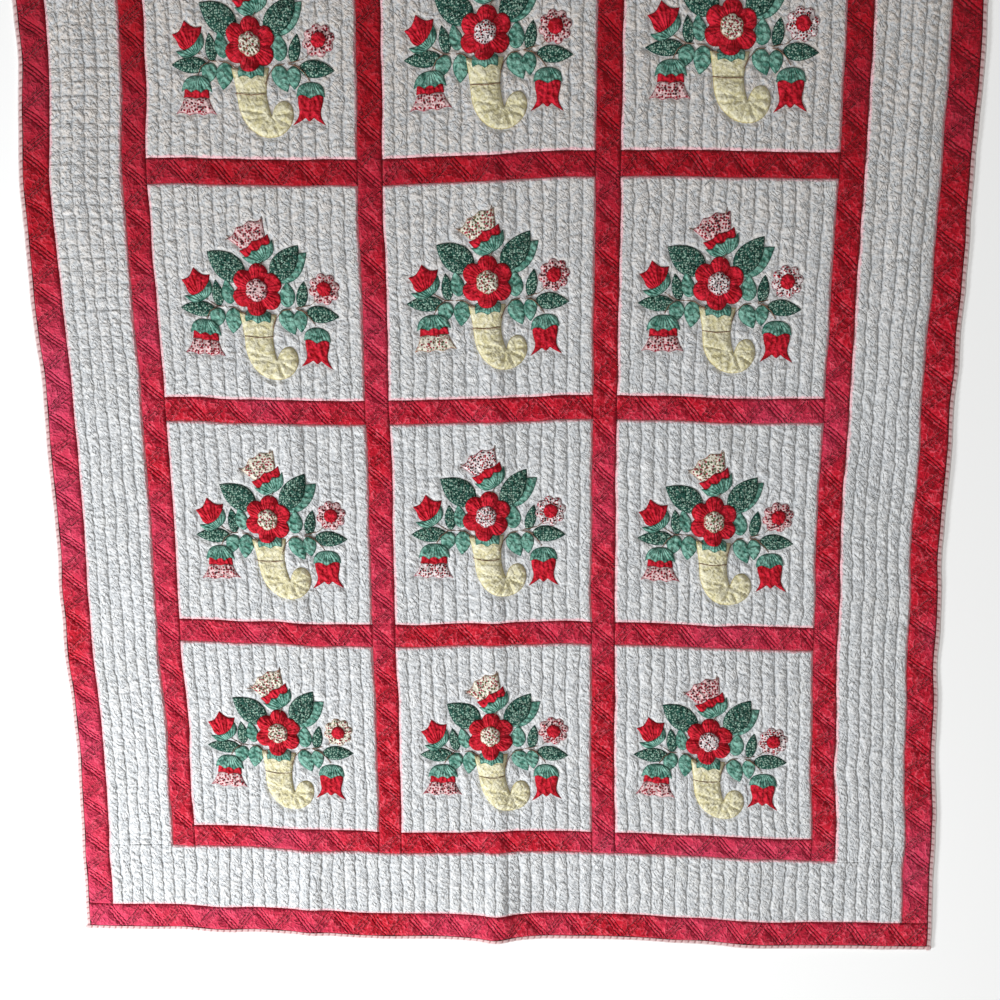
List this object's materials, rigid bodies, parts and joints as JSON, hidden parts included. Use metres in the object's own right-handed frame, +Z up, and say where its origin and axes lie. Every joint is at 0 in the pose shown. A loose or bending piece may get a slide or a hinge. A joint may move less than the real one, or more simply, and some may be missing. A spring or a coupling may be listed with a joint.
{
  "type": "applique quilt",
  "caption": "Applique quilt laid flat: white channel-quilted blocks with sewn-on horn-of-plenty bouquets, red sashing, a wide white border, a red band and a narrow bound edge.",
  "frame": {"origin": "on the floor under the middle of the laid quilt's outline", "axes": "+X to the quilt's right, +Y to its top edge, +Z up from the floor"},
  "size_m": [1.8546, 2.3196, 0.0236],
  "materials": {
    "white_cotton": "plain weave, quilted in channels, softly puckered",
    "red_cotton": "plain weave, quilted in a zigzag, softly puckered",
    "applique_cotton": "plain and small-print cotton patches, turned under and sewn down",
    "binding_cotton": "plain weave, folded over the edge and sewn",
    "backing_cotton": "plain weave, quilting stitches show through"
  },
  "bodies": {
    "root": {"backing": "backing_cotton", "sash_down_1": "red_cotton", "sash_down_2": "red_cotton", "sash_down_3": "red_cotton", "sash_down_4": "red_cotton", "sash_across_1_1": "red_cotton", "sash_across_1_2": "red_cotton", "sash_across_1_3": "red_cotton", "sash_across_2_1": "red_cotton", "sash_across_2_2": "red_cotton", "sash_across_2_3": "red_cotton", "sash_across_3_1": "red_cotton", "sash_across_3_2": "red_cotton", "sash_across_3_3": "red_cotton", "sash_across_4_1": "red_cotton", "sash_across_4_2": "red_cotton", "sash_across_4_3": "red_cotton", "sash_across_5_1": "red_cotton", "sash_across_5_2": "red_cotton", "sash_across_5_3": "red_cotton", "block_1_1": "white_cotton", "block_1_2": "white_cotton", "block_1_3": "white_cotton", "block_2_1": "white_cotton", "block_2_2": "white_cotton", "block_2_3": "white_cotton", "block_3_1": "white_cotton", "block_3_2": "white_cotton", "block_3_3": "white_cotton", "block_4_1": "white_cotton", "block_4_2": "white_cotton", "block_4_3": "white_cotton", "bouquet_1_1": "applique_cotton", "bouquet_1_2": "applique_cotton", "bouquet_1_3": "applique_cotton", "bouquet_2_1": "applique_cotton", "bouquet_2_2": "applique_cotton", "bouquet_2_3": "applique_cotton", "bouquet_3_1": "applique_cotton", "bouquet_3_2": "applique_cotton", "bouquet_3_3": "applique_cotton", "bouquet_4_1": "applique_cotton", "bouquet_4_2": "applique_cotton", "bouquet_4_3": "applique_cotton", "border_left": "white_cotton", "band_left": "red_cotton", "binding_left": "binding_cotton", "border_right": "white_cotton", "band_right": "red_cotton", "binding_right": "binding_cotton", "border_top": "white_cotton", "band_top": "red_cotton", "binding_top": "binding_cotton", "border_bottom": "white_cotton", "band_bottom": "red_cotton", "binding_bottom": "binding_cotton"}
  },
  "joints": []
}
